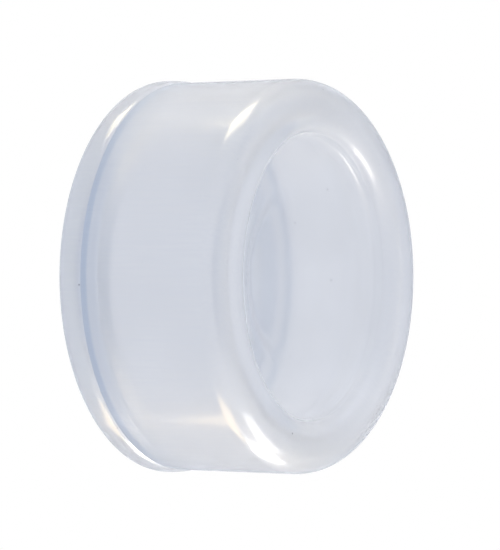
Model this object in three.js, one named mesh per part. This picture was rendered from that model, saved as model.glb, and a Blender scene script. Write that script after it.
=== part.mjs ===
// Clear silicone boot for a round flush push-button.
//
// The boot pushes over the bezel of the button. Its rear ring seals on the panel, its wall
// hugs the bezel, and its front rolls over into a thin face that the finger presses.
// Every sub-part is a body of revolution about Z. The rear face lies at z = 0 and the
// pressed face looks along +Z. Sizes are in millimetres.

import * as THREE from "three";

// ---------------------------------------------------------------- driving dimensions

const bezelRadius = 14.5; // the button's bezel, 29 mm across
const bezelSlack = 0.05; // the wall's inside over the bezel
const overallRadius = 15.8; // the widest turn of the front roll
const crestHeight = 15.4; // from the rear face to the crest of the roll
const mouthRadius = 12.2; // the hole in the rear lip
const lipHeight = 3.0; // the front of the rear lip
const creaseHeight = 2.2; // where the bead meets the wall
const beadRadius = 15.85; // the bulge of the rear ring
const beadCrown = 0.8; // rounding of the bead's rear edge
const neckRadius = 15.66; // outside of the wall at the crease
const crestRadius = 13.2; // where the roll is highest
const rollInnerRadius = 1.7; // rounding of the roll's section, on the recess side
const grooveRadius = 0.95; // rounding of the hollow inside the roll
const grooveTop = 14.2; // the top of that hollow
const faceHeight = 13.0; // the pressed face
const faceThickness = 1.0;
const faceRadius = 10.8; // the flat of the pressed face
const padRadius = 7.6; // thicker middle, under the face
const padDepth = 0.3;
const capRadius = 10.4; // the part of the face that moves as one with the button's cap
const rollStart = 12.0; // where the wall ends and the roll begins
const rollEnd = 13.9; // where the roll ends on its inner side
const gap = 0.3; // kept between neighbouring sub-parts
const turns = 64; // flats around each sub-part

// ---------------------------------------------------------------- worked-out dimensions

const innerRadius = bezelRadius + bezelSlack;
const rollOuterRadius = overallRadius - crestRadius;
const widestHeight = crestHeight - rollOuterRadius;
const recessTurnHeight = crestHeight - rollInnerRadius;
const grooveCentre = { r: innerRadius - grooveRadius, z: grooveTop - grooveRadius };
const faceUnderside = faceHeight - faceThickness;
const half = gap / 2;

// ---------------------------------------------------------------- materials

const silicone = (name, colour) =>
  new THREE.MeshStandardMaterial({
    name,
    color: colour,
    roughness: 0.2,
    metalness: 0,
    transparent: true,
    opacity: 0.45,
  });

const wallSilicone = silicone("wall_silicone", 0xccd3de);
const faceSilicone = silicone("face_silicone", 0xd6dade);

// ---------------------------------------------------------------- helpers

const point = (r, z) => new THREE.Vector2(r, z);

// Points of a round stretch of a section, from one angle to another in degrees.
// 0 points away from the axis and 90 points along +Z.
function arc(r, z, radius, from, to, steps) {
  const points = [];
  for (let i = 0; i <= steps; i += 1) {
    const angle = THREE.MathUtils.degToRad(from + ((to - from) * i) / steps);
    points.push(point(r + radius * Math.cos(angle), z + radius * Math.sin(angle)));
  }
  return points;
}

// The angle of the point at height z on the inner side of a circle.
function innerSideAngle(centreZ, radius, z) {
  return 180 - THREE.MathUtils.radToDeg(Math.asin((z - centreZ) / radius));
}

// A ring: the section is listed anticlockwise and closes on itself.
function ring(name, section, material) {
  const closed = [...section, section[0].clone()];
  return turned(name, closed, material);
}

// A disc: the section starts and ends on the axis.
function disc(name, section, material) {
  const bottom = section[0].y;
  const top = section[section.length - 1].y;
  return turned(name, [point(0, bottom), ...section, point(0, top)], material);
}

function turned(name, section, material) {
  const mesh = new THREE.Mesh(new THREE.LatheGeometry(section, turns), material);
  mesh.name = name;
  mesh.rotation.x = Math.PI / 2;
  return mesh;
}

// ---------------------------------------------------------------- sub-parts

// The inward lip of the rear ring, which holds behind the bezel.
function retainingLip() {
  const edge = 0.35;
  const outer = innerRadius - gap;
  const section = [
    ...arc(mouthRadius + edge, edge, edge, 180, 270, 3),
    point(outer, 0),
    point(outer, lipHeight),
    ...arc(mouthRadius + edge, lipHeight - edge, edge, 90, 180, 3),
  ];
  return ring("retaining_lip", section, wallSilicone);
}

// The bulging outer half of the rear ring, which seals on the panel.
function sealingBead() {
  const inner = innerRadius;
  const top = creaseHeight - half;
  const fall = beadRadius - neckRadius;
  const section = [
    point(inner, 0),
    ...arc(beadRadius - beadCrown, beadCrown, beadCrown, -90, 0, 6),
    point(beadRadius - fall * 0.25, (beadCrown + top) / 2),
    point(neckRadius, top),
    point(inner, top),
  ];
  return ring("sealing_bead", section, wallSilicone);
}

// The wall around the bezel. It widens a little towards the front.
function skirt() {
  const bottom = creaseHeight + half;
  const top = rollStart - half;
  const section = [
    point(innerRadius, bottom),
    point(neckRadius, bottom),
    point(wallRadiusAt(top), top),
    point(innerRadius, top),
  ];
  return ring("skirt", section, wallSilicone);
}

// The outside of the wall at height z, between the crease and the widest turn of the roll.
function wallRadiusAt(z) {
  const share = (z - creaseHeight) / (widestHeight - creaseHeight);
  return neckRadius + (overallRadius - neckRadius) * share;
}

// The fat rounded front edge. It is hollow underneath, so that it can flex.
function frontRoll() {
  const bottom = rollStart + half;
  const inside = rollEnd + half;
  const recessTo = innerSideAngle(recessTurnHeight, rollInnerRadius, inside);
  const grooveFrom = innerSideAngle(grooveCentre.z, grooveRadius, inside);
  const section = [
    point(wallRadiusAt(bottom), bottom),
    ...arc(crestRadius, widestHeight, rollOuterRadius, 0, 90, 10),
    ...arc(crestRadius, recessTurnHeight, rollInnerRadius, 90, recessTo, 7).slice(1),
    ...arc(grooveCentre.r, grooveCentre.z, grooveRadius, grooveFrom, 0, 8),
    point(innerRadius, bottom),
  ];
  return ring("front_roll", section, wallSilicone);
}

// The web between the roll and the part over the button's cap. It stretches when pressed.
function diaphragm() {
  const top = rollEnd - half;
  const inner = capRadius + half;
  const recessWall = crestRadius - rollInnerRadius;
  const fillet = recessWall - faceRadius;
  const innerWall = grooveCentre.r - grooveRadius;
  const recessFrom = innerSideAngle(recessTurnHeight, rollInnerRadius, top);
  const grooveFrom = innerSideAngle(grooveCentre.z, grooveRadius, top);
  const edge = 0.6;
  const section = [
    point(inner, faceUnderside),
    ...arc(innerWall - edge, faceUnderside + edge, edge, -90, 0, 3),
    ...arc(grooveCentre.r, grooveCentre.z, grooveRadius, 180, grooveFrom, 4),
    ...arc(crestRadius, recessTurnHeight, rollInnerRadius, recessFrom, 180, 1),
    ...arc(faceRadius, faceHeight + fillet, fillet, 0, -90, 4),
    point(inner, faceHeight),
  ];
  return ring("diaphragm", section, faceSilicone);
}

// The face over the button's cap.
function buttonMembrane() {
  const outer = capRadius - half;
  const section = [point(outer, faceUnderside + half), point(outer, faceHeight)];
  return disc("button_membrane", section, faceSilicone);
}

// The thicker middle, which rests on the button's cap.
function centrePad() {
  const bottom = faceUnderside - padDepth;
  const top = faceUnderside - half;
  const edge = 0.2;
  const section = [
    ...arc(padRadius - edge, bottom + edge, edge, -90, 0, 3),
    point(padRadius, top),
  ];
  return disc("centre_pad", section, faceSilicone);
}

// ---------------------------------------------------------------- assembly

const boot = new THREE.Group();
boot.name = "push_button_boot";

const shell = new THREE.Group();
shell.add(retainingLip(), sealingBead(), skirt(), frontRoll(), diaphragm());

const face = new THREE.Group();
face.add(buttonMembrane(), centrePad());

boot.add(shell, face);

export default boot;
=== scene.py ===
"""Clear silicone push-button boot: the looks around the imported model."""

import math

import bmesh
import bpy
from mathutils import Matrix, Vector


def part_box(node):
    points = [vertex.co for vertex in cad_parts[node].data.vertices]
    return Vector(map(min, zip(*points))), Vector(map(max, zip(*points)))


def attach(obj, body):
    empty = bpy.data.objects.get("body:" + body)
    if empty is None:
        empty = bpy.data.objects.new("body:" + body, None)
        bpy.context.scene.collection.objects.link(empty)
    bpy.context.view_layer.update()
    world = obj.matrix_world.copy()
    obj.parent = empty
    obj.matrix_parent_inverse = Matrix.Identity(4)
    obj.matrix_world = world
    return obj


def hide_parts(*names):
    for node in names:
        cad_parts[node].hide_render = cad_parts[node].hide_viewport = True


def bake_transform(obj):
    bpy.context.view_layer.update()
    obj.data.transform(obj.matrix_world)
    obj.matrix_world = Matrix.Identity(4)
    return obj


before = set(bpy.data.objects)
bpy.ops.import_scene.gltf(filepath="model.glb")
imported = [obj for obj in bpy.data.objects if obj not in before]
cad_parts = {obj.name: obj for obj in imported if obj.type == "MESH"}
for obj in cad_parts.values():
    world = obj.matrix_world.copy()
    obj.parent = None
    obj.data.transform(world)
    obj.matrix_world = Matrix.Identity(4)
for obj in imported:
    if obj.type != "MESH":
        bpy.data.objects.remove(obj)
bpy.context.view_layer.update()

MM = 0.001

# ---------------------------------------------------------------- sizes


def outer_radius(node):
    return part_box(node)[1][0]


def top_of(node):
    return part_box(node)[1][2]


def bottom_of(node):
    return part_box(node)[0][2]


GAP = 0.3 * MM  # what the CAD nodes leave between them
HALF_GAP = GAP / 2
INNER_RADIUS = outer_radius("retaining_lip") + GAP
BEAD_RADIUS = outer_radius("sealing_bead")
OVERALL_RADIUS = outer_radius("front_roll")
CAP_RADIUS = outer_radius("button_membrane") + HALF_GAP
PAD_RADIUS = outer_radius("centre_pad")
LIP_HEIGHT = top_of("retaining_lip")
CREASE_HEIGHT = top_of("sealing_bead") + HALF_GAP
ROLL_START = top_of("skirt") + HALF_GAP
ROLL_END = top_of("diaphragm") + HALF_GAP
CREST_HEIGHT = top_of("front_roll")
FACE_HEIGHT = top_of("button_membrane")
FACE_UNDERSIDE = bottom_of("diaphragm")
PAD_BOTTOM = bottom_of("centre_pad")

# Radii and heights inside a node's box, as the CAD has them.
MOUTH_RADIUS = 12.2 * MM
NECK_RADIUS = 15.66 * MM
CREST_RADIUS = 13.2 * MM
ROLL_OUTER_RADIUS = OVERALL_RADIUS - CREST_RADIUS
ROLL_INNER_RADIUS = 1.7 * MM
GROOVE_RADIUS = 0.95 * MM
GROOVE_TOP = 14.2 * MM
BEAD_CROWN = 0.8 * MM
FACE_FLAT_RADIUS = 10.8 * MM

SEAT_FILLET = 0.6 * MM  # the CAD's corner between lip and wall is sharp

WIDEST_HEIGHT = CREST_HEIGHT - ROLL_OUTER_RADIUS
RECESS_TURN_HEIGHT = CREST_HEIGHT - ROLL_INNER_RADIUS
GROOVE_CENTRE = (INNER_RADIUS - GROOVE_RADIUS, GROOVE_TOP - GROOVE_RADIUS)

TURNS = 256  # steps around each piece
ARC_STEP = 2.0  # degrees between points of a round stretch
LINE_STEP = 0.5 * MM  # distance between points of a straight stretch

# ---------------------------------------------------------------- materials

SKIN_ROUGHNESS = 0.32
CORE_ROUGHNESS = 0.4
FACE_ROUGHNESS = 0.2
ROUGHNESS_VARIATION = 0.08  # of the roughness, up and down
COAT_ROUGHNESS = 0.16
COAT_BENDING = 1.41  # real silicone's
WALL_BENDING = 1.22  # lower than real silicone, to stand for its milkiness
FACE_BENDING = 1.08

CLEAR = (0.998, 0.999, 1.0)
THICK = (0.74, 0.785, 0.85)  # seen along the lip, through the most silicone
RING_TINT = (0.955, 0.96, 0.97)
# painted shade: light crossing the plane under the crease is darkened, so a darker band
# shows along the crease
CREASE_PAINTED_SHADE = (0.86, 0.9, 0.95)
NO_TINT = (1.0, 1.0, 1.0)
DUST = (0.35, 0.34, 0.36)
STREAK = (0.95, 0.955, 0.97)
CLOUD_SHADE = 0.965  # of the colour around it

CLOUD_CELL = 6.0 * MM
PATCH_CELL = 2.5 * MM
WAVE_CELL = 0.9 * MM
WAVE_HEIGHT = 0.006 * MM
DUST_CELL = 3.0 * MM
DUST_RADIUS = 0.11 * MM
STREAK_WIDTH = 0.22 * MM
STREAK_STRETCH = (1, 1, 20)  # the wall's marks run along its axis


def new_material(name):
    material = bpy.data.materials.new(name)
    material.use_nodes = True
    return material, material.node_tree.nodes, material.node_tree.links


def noise(nodes, links, place, cell, stretch=(1, 1, 1)):
    """Soft noise with features about cell across, stretched along the axes."""
    mapping = nodes.new("ShaderNodeMapping")
    mapping.inputs["Scale"].default_value = [1 / (cell * s) for s in stretch]
    texture = nodes.new("ShaderNodeTexNoise")
    texture.inputs["Scale"].default_value = 1.0
    texture.inputs["Detail"].default_value = 3.0
    links.new(place, mapping.inputs["Vector"])
    links.new(mapping.outputs["Vector"], texture.inputs["Vector"])
    return texture.outputs["Fac"]


def between(nodes, links, factor, low, high):
    """A number that runs from low to high over the middle of a noise."""
    span = nodes.new("ShaderNodeMapRange")
    span.inputs["From Min"].default_value = 0.35
    span.inputs["From Max"].default_value = 0.65
    span.inputs["To Min"].default_value = low
    span.inputs["To Max"].default_value = high
    links.new(factor, span.inputs["Value"])
    return span.outputs["Result"]


def dust(nodes, links, place):
    """1 within a speck of dust, one in each cell of space, and 0 elsewhere."""
    outside = DUST_RADIUS / DUST_CELL
    inside = 0.4 * outside
    points = nodes.new("ShaderNodeTexVoronoi")
    points.inputs["Scale"].default_value = 1 / DUST_CELL
    edge = nodes.new("ShaderNodeMapRange")
    edge.interpolation_type = "SMOOTHSTEP"
    edge.inputs["From Min"].default_value = outside
    edge.inputs["From Max"].default_value = inside
    links.new(place, points.inputs["Vector"])
    links.new(points.outputs["Distance"], edge.inputs["Value"])
    return edge.outputs["Result"]


def blended(nodes, links, factor, first, second):
    """A colour that turns from first to second as factor goes from 0 to 1."""
    mix = nodes.new("ShaderNodeMix")
    mix.data_type = "RGBA"
    links.new(factor, mix.inputs["Factor"])
    for socket, colour in ((mix.inputs["A"], first), (mix.inputs["B"], second)):
        if isinstance(colour, tuple):
            socket.default_value = (*colour, 1.0)
        else:
            links.new(colour, socket)
    return mix.outputs["Result"]


def waviness(nodes, links, place):
    """The fine waviness that the mould leaves."""
    bump = nodes.new("ShaderNodeBump")
    bump.inputs["Distance"].default_value = WAVE_HEIGHT
    links.new(noise(nodes, links, place, WAVE_CELL), bump.inputs["Height"])
    return bump.outputs["Normal"]


def body_colour(nodes, links, place, tint, streaky):
    """Faint clouds in the silicone, dust on it, and fine marks along a streaky wall."""
    clouds = between(nodes, links, noise(nodes, links, place, CLOUD_CELL), 0.0, 1.0)
    cloudy = tuple(CLOUD_SHADE * channel for channel in tint)
    body = blended(nodes, links, clouds, tint, cloudy)
    if streaky:
        marks = noise(nodes, links, place, STREAK_WIDTH, STREAK_STRETCH)
        body = blended(nodes, links, between(nodes, links, marks, 0.0, 1.0), body, STREAK)
    return blended(nodes, links, dust(nodes, links, place), body, DUST)


def clear_silicone(name, tint, roughness, bending, streaky=False):
    """Clear silicone: a glossy skin over a body that blurs what shows through it."""
    material, nodes, links = new_material(name)
    shader = nodes["Principled BSDF"]
    shader.inputs["IOR"].default_value = bending
    shader.inputs["Transmission Weight"].default_value = 1.0
    shader.inputs["Coat Weight"].default_value = 1.0
    shader.inputs["Coat Roughness"].default_value = COAT_ROUGHNESS
    shader.inputs["Coat IOR"].default_value = COAT_BENDING
    place = nodes.new("ShaderNodeTexCoord").outputs["Object"]
    colour = body_colour(nodes, links, place, tint, streaky)
    patches = noise(nodes, links, place, PATCH_CELL)
    smoothest = (1 - ROUGHNESS_VARIATION) * roughness
    roughest = (1 + ROUGHNESS_VARIATION) * roughness
    gloss = between(nodes, links, patches, smoothest, roughest)
    normal = waviness(nodes, links, place)
    links.new(colour, shader.inputs["Base Color"])
    links.new(gloss, shader.inputs["Roughness"])
    links.new(normal, shader.inputs["Normal"])
    links.new(normal, shader.inputs["Coat Normal"])
    return material


def seam_material(name, tint):
    """Inside the moulding light goes straight on, less what the silicone takes of it. At the
    crease the tint is painted shade instead: it darkens a band along the crease.
    """
    material, nodes, links = new_material(name)
    nodes.remove(nodes["Principled BSDF"])
    clear = nodes.new("ShaderNodeBsdfTransparent")
    clear.inputs["Color"].default_value = (*tint, 1.0)
    links.new(clear.outputs["BSDF"], nodes["Material Output"].inputs["Surface"])
    return material


wall_skin = clear_silicone(
    "wall_silicone", CLEAR, SKIN_ROUGHNESS, WALL_BENDING, streaky=True
)
wall_core = clear_silicone("wall_inside", CLEAR, CORE_ROUGHNESS, WALL_BENDING)
mouth_skin = clear_silicone("mouth_silicone", THICK, CORE_ROUGHNESS, WALL_BENDING)
face_skin = clear_silicone("face_silicone", CLEAR, FACE_ROUGHNESS, FACE_BENDING)
face_core = clear_silicone("face_underside", CLEAR, FACE_ROUGHNESS, FACE_BENDING)
seam = seam_material("inside_the_moulding", NO_TINT)
ring_seam = seam_material("inside_the_ring", RING_TINT)
# painted shade along the crease, on the plane between bead and skirt
crease_shade_seam = seam_material("painted_shade_in_the_crease", CREASE_PAINTED_SHADE)

# ---------------------------------------------------------------- section curves


def arc(centre_r, centre_z, radius, start, end):
    """Points of a round stretch, in degrees: 0 points outwards and 90 along +Z."""
    steps = max(2, math.ceil(abs(end - start) / ARC_STEP))
    points = []
    for i in range(steps + 1):
        angle = math.radians(start + (end - start) * i / steps)
        r = centre_r + radius * math.cos(angle)
        z = centre_z + radius * math.sin(angle)
        points.append((r, z))
    return points


def line(start, end, step=LINE_STEP):
    """Points of a straight stretch, both ends included."""
    length = math.dist(start, end)
    steps = max(1, math.ceil(length / step))
    points = []
    for i in range(steps + 1):
        share = i / steps
        r = start[0] + (end[0] - start[0]) * share
        z = start[1] + (end[1] - start[1]) * share
        points.append((r, z))
    return points


def angle_on_inner_side(centre_z, radius, z):
    return 180 - math.degrees(math.asin((z - centre_z) / radius))


def wall_radius(z):
    """The outside of the wall, between the crease and the widest turn of the roll."""
    share = (z - CREASE_HEIGHT) / (WIDEST_HEIGHT - CREASE_HEIGHT)
    return NECK_RADIUS + (OVERALL_RADIUS - NECK_RADIUS) * share


# ---------------------------------------------------------------- turned pieces


def turned(name, stretches):
    """A closed piece turned about Z.

    stretches lists (material, points) anticlockwise around the section, each starting
    where the one before ended.
    """
    materials = []
    outline = []
    kinds = []
    for material, points in stretches:
        if material not in materials:
            materials.append(material)
        for point in points[:-1]:
            outline.append(point)
            kinds.append(materials.index(material))
    last = stretches[-1][1][-1]
    closes = math.dist(last, outline[0]) < 1e-9
    if not closes:
        outline.append(last)

    mesh = bpy.data.meshes.new(name)
    bm = bmesh.new()
    rings = [ring_of_vertices(bm, r, z) for r, z in outline]
    for i, kind in enumerate(kinds):
        j = (i + 1) % len(rings)
        band_of_faces(bm, rings[i], rings[j], kind)
    for edge in bm.edges:
        faces = edge.link_faces
        if len(faces) == 2 and faces[0].material_index != faces[1].material_index:
            edge.smooth = False
    bm.to_mesh(mesh)
    bm.free()
    for material in materials:
        mesh.materials.append(material)
    piece = bpy.data.objects.new(name, mesh)
    bpy.context.scene.collection.objects.link(piece)
    return piece


def ring_of_vertices(bm, r, z):
    if r < 1e-9:
        return [bm.verts.new((0, 0, z))]
    ring = []
    for i in range(TURNS):
        angle = 2 * math.pi * i / TURNS
        ring.append(bm.verts.new((r * math.cos(angle), r * math.sin(angle), z)))
    return ring


def band_of_faces(bm, lower, upper, kind):
    """Faces between two rings, one of which may be a single point on the axis."""
    for i in range(TURNS):
        j = (i + 1) % TURNS
        if len(lower) == 1:
            corners = (lower[0], upper[j], upper[i])
        elif len(upper) == 1:
            corners = (lower[i], lower[j], upper[0])
        else:
            corners = (lower[i], lower[j], upper[j], upper[i])
        face = bm.faces.new(corners)
        face.smooth = True
        face.material_index = kind


# ---------------------------------------------------------------- the moulding's pieces


def retaining_lip():
    edge = 0.35 * MM
    corner = SEAT_FILLET
    seat_end = (INNER_RADIUS - corner, LIP_HEIGHT)
    shared_corner = (INNER_RADIUS, LIP_HEIGHT)
    back_end = (INNER_RADIUS, 0.0)
    back_start = (MOUTH_RADIUS + edge, 0.0)
    seat_start = (MOUTH_RADIUS + edge, LIP_HEIGHT)
    stretches = [
        (mouth_skin, arc(MOUTH_RADIUS + edge, edge, edge, 180, 270)),
        (wall_skin, line(back_start, back_end)),
        (ring_seam, line(back_end, shared_corner)),
        (seam, line(shared_corner, seat_end)),
        (wall_core, line(seat_end, seat_start)),
        (mouth_skin, arc(MOUTH_RADIUS + edge, LIP_HEIGHT - edge, edge, 90, 180)),
        (mouth_skin, line((MOUTH_RADIUS, LIP_HEIGHT - edge), (MOUTH_RADIUS, edge))),
    ]
    return turned("retaining_lip_skin", stretches)


def bead_side():
    """The bulge, from its widest turn to the crease, which is a fine groove."""
    crease = (NECK_RADIUS, CREASE_HEIGHT)
    depth = BEAD_RADIUS - NECK_RADIUS
    height = CREASE_HEIGHT - BEAD_CROWN
    points = []
    steps = 16
    for i in range(steps):
        share = i / steps
        slow_fall = 0.3 * share**2
        steep_fall = 0.7 * share**6
        fall = depth * (slow_fall + steep_fall)
        points.append((BEAD_RADIUS - fall, BEAD_CROWN + height * share))
    points.append(crease)
    return points


def sealing_bead():
    crown_radius = BEAD_RADIUS - BEAD_CROWN
    inner_bottom = (INNER_RADIUS, 0.0)
    inner_top = (INNER_RADIUS, CREASE_HEIGHT)
    crease = (NECK_RADIUS, CREASE_HEIGHT)
    stretches = [
        (wall_skin, line(inner_bottom, (crown_radius, 0.0))),
        (wall_skin, arc(crown_radius, BEAD_CROWN, BEAD_CROWN, -90, 0)),
        (wall_skin, bead_side()),
        # painted shade along the crease
        (crease_shade_seam, line(crease, inner_top)),
        (ring_seam, line(inner_top, inner_bottom)),
    ]
    return turned("sealing_bead_skin", stretches)


def skirt():
    corner = SEAT_FILLET
    crease = (NECK_RADIUS, CREASE_HEIGHT)
    outer_top = (wall_radius(ROLL_START), ROLL_START)
    inner_top = (INNER_RADIUS, ROLL_START)
    inner_bottom = (INNER_RADIUS, LIP_HEIGHT + corner)
    shared_corner = (INNER_RADIUS, LIP_HEIGHT)
    seat_end = (INNER_RADIUS - corner, LIP_HEIGHT)
    foot = (INNER_RADIUS, CREASE_HEIGHT)
    fillet = arc(INNER_RADIUS - corner, LIP_HEIGHT + corner, corner, 0, -90)
    stretches = [
        (wall_skin, line(crease, outer_top)),
        (seam, line(outer_top, inner_top)),
        (wall_core, line(inner_top, inner_bottom)),
        (wall_core, fillet),
        (seam, line(seat_end, shared_corner)),
        (ring_seam, line(shared_corner, foot)),
        # painted shade along the crease
        (crease_shade_seam, line(foot, crease)),
    ]
    return turned("skirt_skin", stretches)


def front_roll():
    recess_angle = angle_on_inner_side(RECESS_TURN_HEIGHT, ROLL_INNER_RADIUS, ROLL_END)
    groove_angle = angle_on_inner_side(GROOVE_CENTRE[1], GROOVE_RADIUS, ROLL_END)
    outer_bottom = (wall_radius(ROLL_START), ROLL_START)
    inner_bottom = (INNER_RADIUS, ROLL_START)
    widest = (OVERALL_RADIUS, WIDEST_HEIGHT)
    recess = arc(CREST_RADIUS, RECESS_TURN_HEIGHT, ROLL_INNER_RADIUS, 90, recess_angle)
    groove = arc(*GROOVE_CENTRE, GROOVE_RADIUS, groove_angle, 0)
    stretches = [
        (wall_skin, line(outer_bottom, widest)),
        (wall_skin, arc(CREST_RADIUS, WIDEST_HEIGHT, ROLL_OUTER_RADIUS, 0, 90)),
        (wall_skin, recess),
        (seam, line(recess[-1], groove[0])),
        (wall_core, groove),
        (wall_core, line(groove[-1], inner_bottom)),
        (seam, line(inner_bottom, outer_bottom)),
    ]
    return turned("front_roll_skin", stretches)


def diaphragm():
    """The web that stretches. Its points are close together, because it bends."""
    fine = 0.04 * MM
    edge = 0.6 * MM
    groove_wall = GROOVE_CENTRE[0] - GROOVE_RADIUS
    recess_wall = CREST_RADIUS - ROLL_INNER_RADIUS
    fillet = recess_wall - FACE_FLAT_RADIUS
    recess_angle = angle_on_inner_side(RECESS_TURN_HEIGHT, ROLL_INNER_RADIUS, ROLL_END)
    groove_angle = angle_on_inner_side(GROOVE_CENTRE[1], GROOVE_RADIUS, ROLL_END)
    inner_bottom = (CAP_RADIUS, FACE_UNDERSIDE)
    inner_top = (CAP_RADIUS, FACE_HEIGHT)
    under_end = (groove_wall - edge, FACE_UNDERSIDE)
    groove_start = (groove_wall, FACE_UNDERSIDE + edge)
    groove_end = (groove_wall, GROOVE_CENTRE[1])
    groove = arc(*GROOVE_CENTRE, GROOVE_RADIUS, 180, groove_angle)
    recess = arc(CREST_RADIUS, RECESS_TURN_HEIGHT, ROLL_INNER_RADIUS, recess_angle, 180)
    stretches = [
        (face_core, line(inner_bottom, under_end)),
        (face_core, arc(groove_wall - edge, FACE_UNDERSIDE + edge, edge, -90, 0)),
        (face_core, line(groove_start, groove_end, fine)),
        (face_core, groove),
        (seam, line(groove[-1], recess[0])),
        (face_skin, recess),
        (face_skin, arc(FACE_FLAT_RADIUS, FACE_HEIGHT + fillet, fillet, 0, -90)),
        (face_skin, line((FACE_FLAT_RADIUS, FACE_HEIGHT), inner_top)),
        (seam, line(inner_top, inner_bottom)),
    ]
    return turned("diaphragm_skin", stretches)


def button_membrane():
    axis_bottom = (0.0, FACE_UNDERSIDE)
    pad_edge = (PAD_RADIUS, FACE_UNDERSIDE)
    outer_bottom = (CAP_RADIUS, FACE_UNDERSIDE)
    outer_top = (CAP_RADIUS, FACE_HEIGHT)
    axis_top = (0.0, FACE_HEIGHT)
    stretches = [
        (seam, line(axis_bottom, pad_edge)),
        (face_core, line(pad_edge, outer_bottom)),
        (seam, line(outer_bottom, outer_top)),
        (face_skin, line(outer_top, axis_top)),
    ]
    return turned("button_membrane_skin", stretches)


def centre_pad():
    """Its edge runs out in a long soft slope, so it hardly shows from the front."""
    slope_width = 2.0 * MM
    depth = FACE_UNDERSIDE - PAD_BOTTOM
    axis_bottom = (0.0, PAD_BOTTOM)
    axis_top = (0.0, FACE_UNDERSIDE)
    slope = []
    steps = 16
    for i in range(steps + 1):
        share = i / steps
        rise = depth * (3 * share**2 - 2 * share**3)
        slope.append((PAD_RADIUS - slope_width * (1 - share), PAD_BOTTOM + rise))
    stretches = [
        (face_core, line(axis_bottom, slope[0])),
        (face_core, slope),
        (seam, line(slope[-1], axis_top)),
    ]
    return turned("centre_pad_skin", stretches)


# ---------------------------------------------------------------- assembly

for build, node in (
    (retaining_lip, "retaining_lip"),
    (sealing_bead, "sealing_bead"),
    (skirt, "skirt"),
    (front_roll, "front_roll"),
):
    piece = build()
    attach(piece, "boot")
    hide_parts(node)

for build, node in ((button_membrane, "button_membrane"), (centre_pad, "centre_pad")):
    piece = build()
    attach(piece, "face")
    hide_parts(node)

web = diaphragm()
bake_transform(web)
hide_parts("diaphragm")

# ---------------------------------------------------------------- stage, light, camera

ELEVATION = math.radians(31.72)
TO_CAMERA = Vector((0, -math.cos(ELEVATION), math.sin(ELEVATION)))
IMAGE_RIGHT = Vector((0, math.sin(ELEVATION), math.cos(ELEVATION)))
IMAGE_UP = Vector((-1, 0, 0))
BOOT_MIDDLE = Vector((0, 0, 7.0 * MM))

WHITE = (1.0, 1.0, 1.0)
WARM = (1.0, 0.9, 0.72)
PLAIN = (1.0, 0.98, 0.98)
TENT = (0.57, 0.605, 0.685)  # the tent where no light falls on it
THROUGH = (0.84, 0.85, 0.88)  # the most that shows through the silicone
SOFT_LIGHTS = (  # around, nearer and half width in degrees, then brightness and tint
    (-75, 10, 30, 2.6, WARM),  # the main light, from below
    (80, -10, 27, 1.2, PLAIN),  # from above
    (10, 0, 25, 0.6, PLAIN),  # from the right
    (-70, -50, 25, 0.2, PLAIN),  # from behind, low
    (100, -45, 25, 0.35, WARM),  # from behind, high
)


def direction_of(around, nearer):
    """The way from the boot to a light, in degrees.

    around turns from the picture's right towards its top, and nearer leans the light
    towards the camera. Below 0 it turns towards the bottom, and leans behind the boot.
    """
    turn = math.radians(around)
    lean = math.radians(nearer)
    in_picture = IMAGE_RIGHT * math.cos(turn) + IMAGE_UP * math.sin(turn)
    return in_picture * math.cos(lean) + TO_CAMERA * math.sin(lean)


def camera_rays_or(nodes, links, seen, other):
    """A shader that shows one glow to the camera itself and another to all other light."""
    path = nodes.new("ShaderNodeLightPath")
    mix = nodes.new("ShaderNodeMixShader")
    links.new(path.outputs["Is Camera Ray"], mix.inputs["Fac"])
    links.new(other, mix.inputs[1])
    links.new(seen, mix.inputs[2])
    return mix.outputs["Shader"]


def glow(nodes, colour):
    emission = nodes.new("ShaderNodeEmission")
    emission.inputs["Color"].default_value = (*colour, 1.0)
    return emission.outputs["Emission"]


def light_table():
    """A plain white floor that glows for the camera and lets the tent's light through."""
    half = 2.0  # metres
    mesh = bpy.data.meshes.new("floor")
    corners = [(-half, -half, 0), (half, -half, 0), (half, half, 0), (-half, half, 0)]
    mesh.from_pydata(corners, [], [(0, 1, 2, 3)])
    floor = bpy.data.objects.new("floor", mesh)
    floor.location.z = -120 * MM
    bpy.context.scene.collection.objects.link(floor)
    material, nodes, links = new_material("light_table")
    nodes.remove(nodes["Principled BSDF"])
    clear = nodes.new("ShaderNodeBsdfTransparent")
    surface = camera_rays_or(nodes, links, glow(nodes, WHITE), clear.outputs["BSDF"])
    links.new(surface, nodes["Material Output"].inputs["Surface"])
    mesh.materials.append(material)


def soft_light(nodes, links, coordinates, direction, half_width, glow_colour):
    """The glow of one soft light on the tent, half as bright half_width from its middle."""
    sharpness = math.log(2) / (1 - math.cos(math.radians(half_width)))
    dot = nodes.new("ShaderNodeVectorMath")
    dot.operation = "DOT_PRODUCT"
    dot.inputs[1].default_value = direction
    fall = nodes.new("ShaderNodeMath")
    fall.operation = "MULTIPLY_ADD"
    fall.inputs[1].default_value = sharpness
    fall.inputs[2].default_value = -sharpness
    strength = nodes.new("ShaderNodeMath")
    strength.operation = "EXPONENT"
    tinted = nodes.new("ShaderNodeVectorMath")
    tinted.operation = "SCALE"
    tinted.inputs[0].default_value = glow_colour
    links.new(coordinates.outputs["Generated"], dot.inputs[0])
    links.new(dot.outputs["Value"], fall.inputs[0])
    links.new(fall.outputs["Value"], strength.inputs[0])
    links.new(strength.outputs["Value"], tinted.inputs["Scale"])
    return tinted.outputs["Vector"]


def background(nodes, links, colour):
    shader = nodes.new("ShaderNodeBackground")
    if isinstance(colour, tuple):
        shader.inputs["Color"].default_value = (*colour, 1.0)
    else:
        links.new(colour, shader.inputs["Color"])
    return shader.outputs["Background"]


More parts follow.
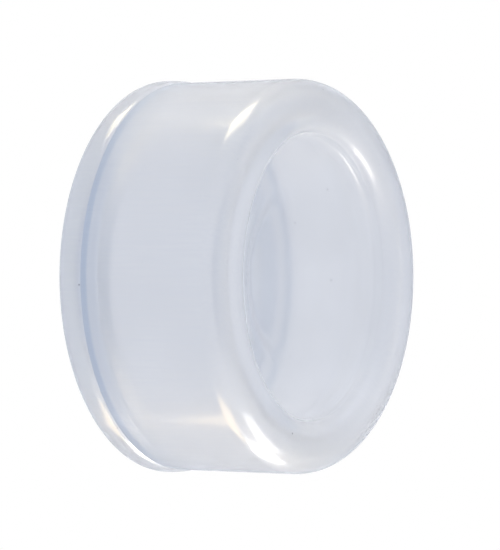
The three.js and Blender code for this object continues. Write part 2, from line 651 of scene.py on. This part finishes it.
def light_tent():
    """Soft lights on a pale tent. Reflections show them in full, but what is seen through
    the silicone is never brighter than THROUGH, so that its outline shows from all sides.
    """
    world = bpy.data.worlds.new("studio")
    world.use_nodes = True
    nodes, links = world.node_tree.nodes, world.node_tree.links
    nodes.remove(nodes["Background"])
    coordinates = nodes.new("ShaderNodeTexCoord")
    tent = nodes.new("ShaderNodeCombineXYZ")
    for axis, value in zip("XYZ", TENT):
        tent.inputs[axis].default_value = value
    total = tent.outputs["Vector"]
    for around, nearer, half_width, brightness, tint in SOFT_LIGHTS:
        direction = direction_of(around, nearer)
        colour = [brightness * channel for channel in tint]
        light = soft_light(nodes, links, coordinates, direction, half_width, colour)
        brighter = nodes.new("ShaderNodeVectorMath")
        brighter.operation = "ADD"
        links.new(total, brighter.inputs[0])
        links.new(light, brighter.inputs[1])
        total = brighter.outputs["Vector"]
    capped = nodes.new("ShaderNodeVectorMath")
    capped.operation = "MINIMUM"
    capped.inputs[1].default_value = THROUGH
    links.new(total, capped.inputs[0])
    path = nodes.new("ShaderNodeLightPath")
    mix = nodes.new("ShaderNodeMixShader")
    links.new(path.outputs["Is Transmission Ray"], mix.inputs["Fac"])
    links.new(background(nodes, links, total), mix.inputs[1])
    links.new(background(nodes, links, capped.outputs["Vector"]), mix.inputs[2])
    white = background(nodes, links, WHITE)
    surface = camera_rays_or(nodes, links, white, mix.outputs["Shader"])
    links.new(surface, nodes["World Output"].inputs["Surface"])
    bpy.context.scene.world = world


def softbox(name, around, nearer, width, length, strength, colour):
    """A rectangular lamp that shows in reflections, not through the silicone.

    Its length runs towards the camera.
    """
    distance = 120 * MM
    outwards = direction_of(around, nearer)
    along = (TO_CAMERA - outwards * TO_CAMERA.dot(outwards)).normalized()
    across = along.cross(outwards)
    data = bpy.data.lights.new(name, "AREA")
    data.shape = "RECTANGLE"
    data.size = width
    data.size_y = length
    data.color = colour
    data.energy = strength * math.pi * width * length
    lamp = bpy.data.objects.new(name, data)
    turn = Matrix((across, along, outwards)).transposed()
    lamp.matrix_world = Matrix.Translation(BOOT_MIDDLE + outwards * distance) @ turn.to_4x4()
    lamp.visible_transmission = False
    bpy.context.scene.collection.objects.link(lamp)


def lamps():
    softbox("lamp_top", 100, -8, 50 * MM, 46 * MM, 8.5, (1.0, 0.88, 0.6))
    softbox("lamp_low_right", -67, 4, 38 * MM, 64 * MM, 8, (1.0, 0.95, 0.86))
    softbox("lamp_low_back", -83, -18, 46 * MM, 40 * MM, 20, (1.0, 0.95, 0.9))
    softbox("lamp_low_left", -107, 0, 40 * MM, 60 * MM, 7, (1.0, 0.75, 0.4))


def camera():
    distance = 420 * MM
    view_height = 44.3 * MM
    data = bpy.data.cameras.new("camera")
    data.sensor_width = 36.0
    data.lens = data.sensor_width * distance / view_height
    data.shift_x = 0.0233
    data.shift_y = 0.0026
    data.clip_start = 0.01
    data.clip_end = 100
    cam = bpy.data.objects.new("camera", data)
    turn = Matrix((IMAGE_RIGHT, IMAGE_UP, TO_CAMERA)).transposed()
    cam.matrix_world = Matrix.Translation(BOOT_MIDDLE + TO_CAMERA * distance) @ turn.to_4x4()
    bpy.context.scene.collection.objects.link(cam)
    bpy.context.scene.camera = cam


def picture_settings():
    """Plain colours, and enough bounces for light to cross every wall of the boot."""
    scene = bpy.context.scene
    scene.view_settings.view_transform = "Standard"
    scene.cycles.max_bounces = 24
    scene.cycles.transmission_bounces = 24
    scene.cycles.transparent_max_bounces = 48
    scene.cycles.diffuse_bounces = 12
    scene.cycles.glossy_bounces = 16


light_table()
light_tent()
lamps()
camera()
picture_settings()
